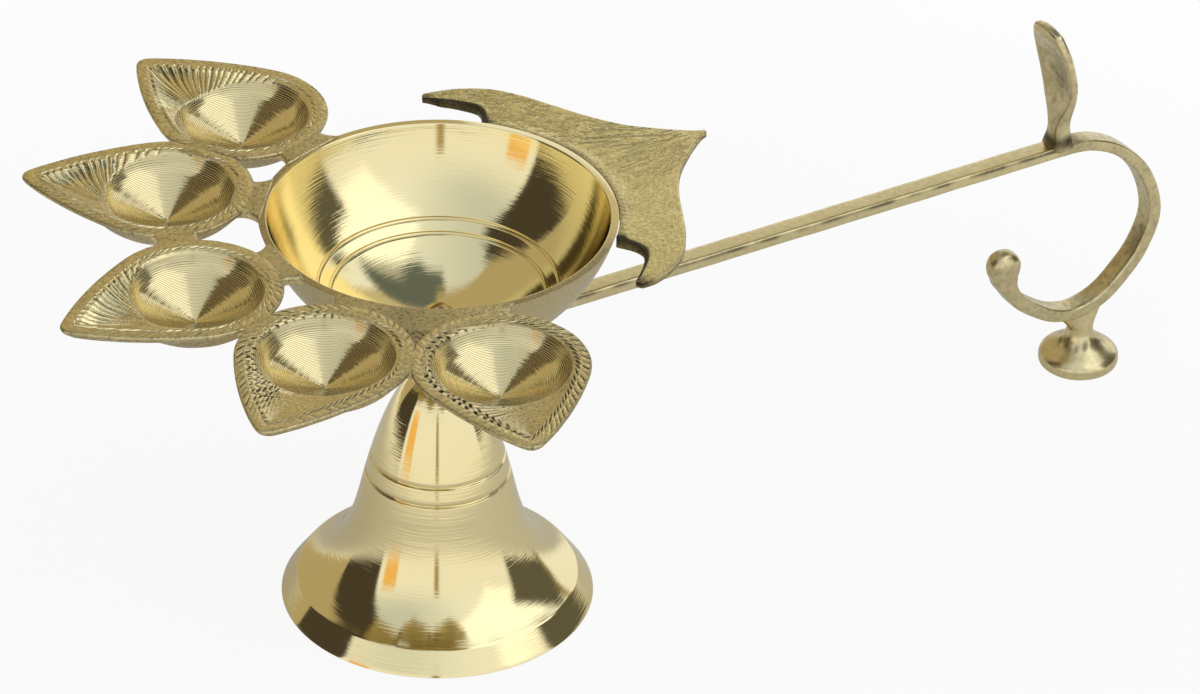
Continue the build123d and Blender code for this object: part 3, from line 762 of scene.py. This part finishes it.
def smooth_path(points, count):
    """Curve through points: each span is the cubic whose end slopes follow the neighbouring points."""
    p = np.asarray(points, float)
    p = np.vstack([2 * p[0] - p[1], p, 2 * p[-1] - p[-2]])
    u = np.linspace(0, len(p) - 3 - 1e-9, count)
    k = u.astype(int)
    t = (u - k)[:, None]
    a, b, c, d = p[k], p[k + 1], p[k + 2], p[k + 3]
    path = 2 * b + (c - a) * t + (2 * a - 5 * b + 4 * c - d) * t**2 + (3 * b - a - 3 * c + d) * t**3
    return even_steps(0.5 * path, count)


half_back = [(19.7, 38.1), (20.2, 39.0), (21.4, 39.2), (26.8, 37.8), (32.4, 34.5), (36.7, 29.2),
             (39.8, 23.6), (43.7, 16.1), (48.2, 9.7), (53.7, 4.6), (58.4, 1.1), (60.3, 0.25)]
half_hollow = [(19.7, 38.1), (20.6, 37.3), (21.9, 36.2), (24.2, 33.9), (26.6, 30.4), (26.9, 28.6),
               (26.2, 26.6), (24.6, 24.3)]
mirror = np.array([1.0, -1.0])
back_line = smooth_path(half_back, FAN_ROWS)
hollow_line = smooth_path(half_hollow, 80)
root = np.arctan2(hollow_line[-1, 1], hollow_line[-1, 0])
joined = np.linspace(root, 0, 121)[1:]
inner_line = np.vstack([hollow_line, FAN_SEAM * np.stack([np.cos(joined), np.sin(joined)], -1)])
outer = np.vstack([back_line, back_line[::-1] * mirror])
inner = even_steps(np.vstack([inner_line, inner_line[-2::-1] * mirror]), 2 * FAN_ROWS)
rounding = np.linspace(0, np.pi / 2, 7)[1:]
across = [np.linspace(0.0, EDGE_FROM, FAN_COLUMNS), EDGE_FROM + (1 - EDGE_FROM) * np.sin(rounding)]
across = np.concatenate(across)[None, :]
drop = np.concatenate([np.zeros(FAN_COLUMNS), EDGE_FALL * (1 - np.cos(rounding))])[None, :]
top_xy = inner[:, None] + (outer - inner)[:, None] * across[..., None]
fan_x, fan_y = top_xy[..., 0], top_xy[..., 1]
top = np.stack([fan_x, fan_y, FAN_TOP - drop + np.zeros_like(fan_x)], -1)
print("fan strip", top.shape)

# %% [markdown]
# ## Strokes on the fan
#
# Long strokes point at the middle point, short punched dashes cover the far horn, and hairlines left by a
# file run along the near one. All are segments, so a groove is a bell of the distance from a segment.

# %% Strokes on the tail fan
STROKES, DASHES, HAIRS = 70, 190, 130


def scratches(starts, stops, width):
    """Grooves along segments: a bell of the distance from each point to the nearest place on a segment."""
    deepest = np.zeros_like(fan_x)
    for (x0, y0), (x1, y1) in zip(starts, stops):
        dx, dy = x1 - x0, y1 - y0
        t = np.clip(((fan_x - x0) * dx + (fan_y - y0) * dy) / (dx * dx + dy * dy), 0, 1)
        apart = np.hypot(fan_x - x0 - t * dx, fan_y - y0 - t * dy)
        deepest = np.maximum(deepest, bell(apart, 0.0, width))
    return deepest


rng = np.random.default_rng(5)
starts = np.stack([rng.uniform(36.5, 50.0, STROKES), rng.uniform(-13.0, 13.0, STROKES)], -1)
aimed = np.array([63.0, 0.0]) - starts
aimed[:, 1] += rng.normal(0, 2.5, STROKES)
aimed /= np.linalg.norm(aimed, axis=1)[:, None]
strokes = scratches(starts, starts + aimed * rng.uniform(4.0, 9.0, STROKES)[:, None], 0.17)
starts = top_xy[rng.integers(20, 230, DASHES), rng.integers(8, 56, DASHES)]
lean = rng.normal(0.7, 0.35, DASHES)
aimed = np.stack([np.cos(lean), -np.sin(lean)], -1)
dashes = scratches(starts, starts + aimed * rng.uniform(0.7, 1.7, DASHES)[:, None], 0.19)
wide = np.linalg.norm(outer - inner, axis=1)[:, None]
rows = np.arange(len(outer))[:, None]
middles = rng.uniform(0.12, 0.92, HAIRS)
begins = rng.uniform(330, 575, HAIRS)
reaches = rng.uniform(10, 34, HAIRS)
hairs = np.zeros_like(fan_x)
for middle, begin, reach in zip(middles, begins, reaches):
    bend = middle + rng.uniform(-0.004, 0.004) * (rows - begin)
    line = rng.uniform(0.4, 1.0) * bell((across - bend) * wide, 0.0, 0.13)
    hairs = np.maximum(hairs, line * window(rows, begin, begin + reach, 4))
marks = np.maximum(np.maximum(strokes, dashes), 0.55 * hairs) * (across < 0.95)
print("marks cover", round(float((marks > 0.4).mean()), 3), "of the fan")

# %% [markdown]
# ## Seam and underside of the fan
#
# The braze left a low, rough fillet along the bowl's lip. Dirt stays there, along the hollows of the horns
# and at their tips. Underneath the plate is plain, and thinner towards the tips.

# %% Make the tail fan
to_horn = np.abs(rows - len(outer) / 2)
seam = bell(np.hypot(fan_x, fan_y), FAN_SEAM, 1.7)
top[..., 2] += 0.05 * ripple(top, 7.0, 5) - 0.15 * marks - SUNK
top[..., 2] += seam * (0.40 + 0.14 * ripple(top, 1.6, 6))
horn_edge = 0.8 * ease(-across, -0.20, -0.08) * ease(to_horn, 165, 185) + 0.6 * ease(to_horn, 268, 296)
fan_dark = 0.05 + 0.36 * seam + 0.16 * marks + 0.30 * ease(across, EDGE_FROM, 1.0) + horn_edge
fan_polish = np.clip(1.2 * np.clip(np.roll(marks, 2, 1) - marks, 0, 1), 0, 1)
under_columns = np.linspace(0, across.size - 1, 14).astype(int)
under = top[:, under_columns].copy()
thick = FAN_THICK * (1 - 0.35 * ease(to_horn, 270, 299))
under[..., 2] = FAN_TOP - thick + 0.6 * drop[:, under_columns]
plain = np.zeros(under.shape[:2])
fan = np.concatenate([top, under[:, ::-1]], 1)
fan_dark = np.concatenate([np.clip(fan_dark, 0, 1), plain + 0.6], 1)
fan_polish = np.concatenate([fan_polish, plain], 1)
make_piece("tail_fan", [shell(fan, False, fan_polish, 0.0, fan_dark)], plate, "head")

# %% [markdown]
# ## The handle
#
# A flat bar runs out from an eye round the centre screw. At its end stand a dished leaf for the thumb and a
# hook for the finger, with a small foot below. All were cast, then filed smooth, so their faces are satin and
# gently uneven. Each is a section carried along a path: a rounded box for the bar and the hook, a plate with
# a hollow front for the thumb leaf, and a lathe section, squeezed at its top, for the foot.

# %% Bar and eye
BAR_ROWS, BAR_FROM, BAR_TO = 260, 5.0, 148.5
BAR_HALF_HEIGHT, BAR_HALF_WIDTH, BAR_SLOPE = 1.28, 2.08, 4.2 / 139.0
EYE_MIDDLE, EYE_RADIUS, EYE_HALF = 58.0, 8.0, 1.3
SECTION_COLUMNS = 64


def square_to(line):
    """Unit vectors square to a line in the plane y = 0."""
    slope = np.gradient(line, axis=0)
    slope /= np.linalg.norm(slope, axis=1)[:, None]
    return np.stack([-slope[:, 1], slope[:, 0]], -1)


def swept_band(path, half_height, half_width, squareness):
    """Rounded box section carried along a path in the plane y = 0; its half sizes may change along it."""
    q = circle(SECTION_COLUMNS)
    rise = rounded(q - np.pi / 2, squareness) * half_height[:, None]
    side = rounded(q, squareness) * half_width[:, None]
    square = square_to(path)
    return np.stack([path[:, :1] + square[:, :1] * rise, side, path[:, 1:] + square[:, 1:] * rise], -1)


bar_x = np.linspace(BAR_FROM, BAR_TO, BAR_ROWS)
bar_path = np.stack([bar_x, EYE_MIDDLE - BAR_SLOPE * np.clip(bar_x - EYE_RADIUS, 0, None)], -1)
closing = closed_ends(BAR_ROWS)
bar = swept_band(bar_path, BAR_HALF_HEIGHT * closing, BAR_HALF_WIDTH * closing, 0.26)
bar += 0.06 * ripple(bar, 26.0, 3)[..., None] * np.array([0, 1, 1]) * closing[:, None, None]
corner = bell(bar[..., 1], -2.0, 0.22) * bell(bar[..., 2] - bar_path[:, 1:], 0.75, 0.42)
broken = np.clip(0.75 + 0.9 * ripple(bar * np.array([1, 0.2, 0.2]), 7.0, 8), 0.15, 1)
bar_dark = 0.03 + 0.75 * corner * broken + 0.40 * bell(bar[..., 0], 146, 2.0)
low, high = EYE_MIDDLE - EYE_HALF, EYE_MIDDLE + EYE_HALF
eye = [(SCREW_HOLE, low), (EYE_RADIUS, low), (EYE_RADIUS, high), (SCREW_HOLE, high), (SCREW_HOLE, low)]
eye_shell = shell(lathe(soften(np.array(eye), 0.15, 0.15), 96), True, dark=0.2)
make_piece("handle_bar", [shell(bar, polish=0.4, dark=bar_dark), eye_shell], filed, "handle")

# %% Finger hook
HOOK_ROWS, KNOB_RADIUS, KNOB_BACK, KNOB_NECK = 420, 3.58, 3.6, 2.6
hook_points = [(144.5, 54.0), (147.5, 53.8), (153.6, 52.7), (160.3, 49.0), (166.6, 41.8), (169.6, 32.0),
               (166.9, 23.8), (162.5, 18.6), (157.6, 14.9), (151.6, 13.3), (145.9, 14.4), (141.0, 17.3),
               (136.6, 21.0), (134.0, 25.3), (133.4, 29.6), (133.5, 33.2)]
hook_line = smooth_path(hook_points, HOOK_ROWS)
hook_step = along(hook_line)
hook_end = hook_step[-1]
to_knob = hook_step - hook_end + KNOB_BACK
band = np.interp(hook_step, [0, 15, 33, 50, 66, 80, hook_end], [1.28, 1.25, 1.45, 1.50, 1.42, 1.55, 1.7])
ball = np.sqrt(np.clip(KNOB_RADIUS**2 - to_knob**2, 0, None))
half = np.where(to_knob > -KNOB_NECK, ball, band)
half = np.maximum(half, np.where(to_knob > 0, 0, band + bell(to_knob, -KNOB_NECK, 2.2)))
half *= closed_ends(HOOK_ROWS)
hook_width = np.interp(hook_step, [0, 12, hook_end - 8, hook_end], [2.08, 2.25, 2.25, 2.85])
hook_width *= np.sqrt(1 - np.clip(to_knob / KNOB_BACK, 0, 1) ** 2.4)
hook_width[0] = 0.0
hook = swept_band(hook_line, half, hook_width, np.interp(to_knob, [-6.0, -1.0], [0.30, 0.75])[:, None])
hook += 0.06 * ripple(hook, 14.0, 4)[..., None] * np.array([0.6, 1, 0.6])
hook_side = np.sin(circle(SECTION_COLUMNS))
in_loop = np.interp(hook_step, [0, 25, 75, 90], [0, 1, 1, 0])[:, None]
# Painted shade: the inner face of the loop is painted darker, in blotches from a ripple.
inner_face = np.clip(-hook_side - 0.2, 0, 1) * in_loop
hook_dark = 0.09 + 0.36 * inner_face * np.clip(0.6 + ripple(hook, 12.0, 9), 0, 1)
hook_dark += 0.40 * bell(hook_step, 4, 2.5)[:, None] * np.clip(hook_side + 0.4, 0, 1)
make_piece("finger_hook", [shell(hook, dark=hook_dark)], filed, "handle")

# %% Thumb leaf
THUMB_ROWS, THUMB_TIP, DISH_DEPTH = 170, 0.035, 1.7
thumb_line = smooth_path([(145.3, 54.6), (145.3, 57.7), (145.2, 63.5), (144.7, 69.8), (143.2, 76.1),
                          (141.6, 81.5), (141.2, 83.4)], THUMB_ROWS)
t = np.linspace(0, 1, THUMB_ROWS)
half_width = np.interp(t, [0, 0.07, 0.13, 0.19, 0.27, 0.375, 0.51, 0.6, 0.725, 0.86, 0.93, 0.965, 1.0],
                       [3.3, 2.6, 2.1, 2.2, 3.1, 4.4, 5.4, 5.65, 5.7, 5.25, 4.6, 4.1, 3.6])
half_width = np.convolve(np.pad(half_width, 6, mode="edge"), np.ones(13) / 13, "valid")
from_tip = (1 - t) / THUMB_TIP
half_width *= np.sqrt(np.clip(from_tip, 0, 1) * np.clip(2 - from_tip, 1, 2))
thick = np.interp(t, [0, 0.1, 0.3, 0.8, 0.95, 1.0], [2.5, 1.9, 1.50, 1.45, 1.30, 0.7])[:, None]
dish = DISH_DEPTH * bell(t, 0.62, 0.24, 4)[:, None]
closing = closed_ends(THUMB_ROWS)[:, None]
q = circle(96)
side_share = rounded(q, 0.52)
depth = thick * rounded(q - np.pi / 2, 0.60)
depth += np.where(np.sin(q) < 0, dish, 0.3 * dish) * (1 - np.abs(side_share) ** 2.2)
square = square_to(thumb_line)
thumb_x = thumb_line[:, :1] - square[:, :1] * depth * closing
thumb_z = thumb_line[:, 1:] - square[:, 1:] * depth * closing
thumb_y = half_width[:, None] * side_share * closing
thumb = np.stack([thumb_x, thumb_y, thumb_z], -1)
thumb += 0.05 * ripple(thumb, 8.0, 14)[..., None] * np.array([1, 1, 0]) * closing[..., None]
# Painted shade: the dish's hollow is painted darker, most just to one side of its middle.
in_dish = (np.sin(q) < -0.3) * bell(t, 0.6, 0.2, 4)[:, None]
thumb_dark = 0.10 + 0.65 * bell(t, 0.06, 0.06)[:, None] + 0.34 * in_dish * bell(thumb_y, -1.0, 2.2)
make_piece("thumb_leaf", [shell(thumb, dark=thumb_dark)], filed, "handle")

# %% Handle foot
FOOT_X, SADDLE_X, SADDLE_BEND = 153.65, 151.4, 27.0
foot_edge = curve((7.3, 0.0), (8.1, 0.0), (8.2, 0.7), (8.15, 1.7), count=16)
foot_rise = curve((8.15, 1.7), (8.1, 4.3), (2.7, 4.0), (2.55, 6.6), (2.4, 8.5), (2.5, 10.5), (2.9, 12.4),
                  count=90)
foot = even_steps(np.vstack([[(0.0, 0.0), (7.3, 0.0)], foot_edge, foot_rise, [(0.0, 12.5)]]), 160)
foot_points = lathe(foot, 96, FOOT_X)
upward = ease(foot[:, 1:], 8.0, 12.4)
foot_points[..., 0] = FOOT_X + (foot_points[..., 0] - FOOT_X) * (1 + 0.95 * upward)
foot_points[..., 1] *= 1 - 0.32 * upward
foot_points[..., 2] += upward * (foot_points[..., 0] - SADDLE_X) ** 2 / SADDLE_BEND
off_axis = (foot[:, :1] > 0.5)[..., None]
foot_points += 0.08 * ripple(foot_points, 9.0, 12)[..., None] * np.array([1, 1, 0]) * off_axis
pitted = np.clip(0.3 + 1.4 * ripple(foot_points, 3.0, 13), 0, 1)
foot_dark = 0.6 * bell(foot[:, 1:], 5.6, 1.3) * pitted * (foot[:, :1] < 6)
make_piece("handle_foot", [shell(foot_points, polish=0.35, dark=foot_dark)], filed, "handle")

# %% [markdown]
# ## Screw, washer and nut
#
# The screw's domed head shows on the bowl's floor; the washer and the nut sit inside the bell. They are plain
# turned solids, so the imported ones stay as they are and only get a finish. Their meshes carry none of the
# three values, so the recipe's cast side shows, brighter and finer than on the leaves.

# %% Finish the fasteners
screw_brass = brass("screw_brass", (0.74, 0.60, 0.34), gloss=0.2, satin=0.24, pit=0.02, pit_size=3.0,
                    blotch=0.3, mottle=0.8)
for name in ("centre_screw", "stand_washer", "clamp_nut"):
    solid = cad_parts[name]
    solid.data.materials.clear()
    solid.data.materials.append(screw_brass)
    print("finished", name)

# %% [markdown]
# ## The floor
#
# The lamp stands on white paper. The camera sees most of it as plain white, so only a faint shadow is left,
# as on a bright studio sweep. Mirrored rays see more of its true shade, so the waist of the stand shows the
# shadow under the leaves. Farther out the paper is plain white for both.

# %% A white floor
FLOOR_HALF, SEEN_WHITE, MIRRORED_WHITE, FADE_FROM, FADE_TO = 4.0, 0.91, 0.12, 0.12, 0.36
paper, wire = new_material("white_paper")
surface = wire.nodes["Principled BSDF"]
surface.inputs["Base Color"].default_value = (0.80, 0.79, 0.76, 1.0)
surface.inputs["Roughness"].default_value = 0.9
surface.inputs["Specular IOR Level"].default_value = 0.0
glow = wire.node("ShaderNodeEmission")
glow.inputs["Color"].default_value = (1.0, 1.0, 1.0, 1.0)
ray = wire.node("ShaderNodeLightPath").outputs
seen = ray["Is Camera Ray"]
mirrored = wire.math("MAXIMUM", ray["Is Glossy Ray"], ray["Is Transmission Ray"])
near_white = wire.math("MULTIPLY_ADD", seen, SEEN_WHITE, wire.math("MULTIPLY", mirrored, MIRRORED_WHITE))
far_white = wire.math("SUBTRACT", wire.math("MAXIMUM", seen, mirrored), near_white)
distance = wire.node("ShaderNodeVectorMath", operation="LENGTH")
wire.feed(distance.inputs, wire.coordinate("Object"))
far_off = wire.span(distance.outputs["Value"], FADE_FROM, FADE_TO)
mixer = wire.node("ShaderNodeMixShader")
white_share = wire.math("MULTIPLY_ADD", far_off, far_white, near_white)
wire.feed(mixer.inputs, white_share, surface.outputs[0], glow.outputs[0])
wire.feed(wire.nodes["Material Output"].inputs, mixer.outputs[0])
floor_corners = FLOOR_HALF * np.array([(-1, -1, 0), (1, -1, 0), (1, 1, 0), (-1, 1, 0)])
new_object("floor", floor_corners, np.array([(0, 1, 2, 3)]), paper)
print("floor laid")

# %% [markdown]
# ## The white room and its cards
#
# Polished metal looks like whatever stands round it. In an all-white room it would look like plastic, so a
# studio sets dark and coloured cards round the object, out of the picture, and the turned faces draw them as
# bands. The cards here are pieces of spheres round the lamp, most of them little more than half a metre away,
# each between two bearings, counted from the camera's side to its right, and two heights above the level.

# %% White room
world = bpy.data.worlds.new("white_room")
scene.world = world
world.use_nodes = True
wire = Wiring(world.node_tree)
toward = wire.coordinate("Generated")


def facing(direction, low, high):
    """Zero to one as the ray's direction comes to lie along a fixed direction of the room."""
    product = wire.node("ShaderNodeVectorMath", operation="DOT_PRODUCT")
    wire.feed(product.inputs, toward, tuple(direction))
    return wire.span(product.outputs["Value"], low, high)


overhead = wire.blend(facing(right, -0.5, 0.6), (0.66, 0.73, 0.84), (1.0, 1.07, 1.22))
room = wire.blend(facing(UPRIGHT, 0.30, 0.75), (1.0, 1.03, 1.10), overhead)
wire.feed(wire.nodes["Background"].inputs, room, 1.0)
print("white room")

# %% Cards round the lamp
LAMP_MIDDLE = 0.06
CARD_GRID = 25


def direction(bearing, height):
    """Unit vectors at bearings from the camera's side and heights above the level, both in degrees."""
    bearing, height = (np.radians(np.asarray(v, float))[..., None] for v in (bearing, height))
    level = np.sin(bearing) * right + np.cos(bearing) * front
    return np.cos(height) * level + np.sin(height) * UPRIGHT


def card(name, bearings, heights, colour, away):
    """Piece of a sphere between two bearings and two heights, glowing evenly in one colour."""
    grid = np.meshgrid(np.linspace(*bearings, CARD_GRID), np.linspace(*heights, CARD_GRID))
    points = away * direction(*grid) + LAMP_MIDDLE * UPRIGHT
    material, wire = new_material(name)
    shade = wire.node("ShaderNodeEmission")
    shade.inputs["Color"].default_value = (*colour, 1.0)
    wire.feed(wire.nodes["Material Output"].inputs, shade.outputs[0])
    faces = grid_faces(CARD_GRID, CARD_GRID, False, False)
    made = new_object(name, points.reshape(-1, 3), faces, material)
    made.visible_camera = False
    print(name, "from bearing", bearings, "at heights", heights)


card("dark_card_left", (-108, -66), (-8, 64), (0.07, 0.058, 0.045), 0.6)
card("tan_card_left", (-180, -108), (-8, 62), (0.50, 0.43, 0.28), 0.65)
card("dark_card_right", (84, 130), (-8, 33), (0.13, 0.125, 0.10), 0.6)
card("warm_card", (-60, -45), (-8, 17), (1.0, 0.60, 0.20), 0.6)
card("narrow_card", (-2, 3), (-8, 23), (0.46, 0.34, 0.18), 0.6)
card("blue_card", (114, 190), (44, 79), (0.14, 0.17, 0.19), 2.6)
card("tan_card_behind", (142, 180), (28, 47), (0.62, 0.57, 0.42), 2.6)

# %% [markdown]
# ## Soft box
#
# One broad, dim lamp gives the cast faces their direction without burning a hard spot into the polished ones.
# It stands on the camera's right like a window, and the white room fills the other side.

# %% Soft box
KEY_BEARING, KEY_HEIGHT, KEY_AWAY, KEY_SIZE, KEY_POWER = 80, 48, 1.7, 1.7, 3.4
middle = Vector((0.02, 0.0, LAMP_MIDDLE))
place = middle + KEY_AWAY * Vector(direction(KEY_BEARING, KEY_HEIGHT))
light = bpy.data.lights.new("key", "AREA")
light.shape = "SQUARE"
light.size = KEY_SIZE
light.energy = KEY_POWER
soft_box = bpy.data.objects.new("key", light)
facing_lamp = (middle - place).to_track_quat("-Z", "Y").to_matrix().to_4x4()
soft_box.matrix_world = Matrix.Translation(place) @ facing_lamp
scene.collection.objects.link(soft_box)
scene.view_settings.view_transform = "Standard"
print("soft box at", [round(v, 2) for v in place])
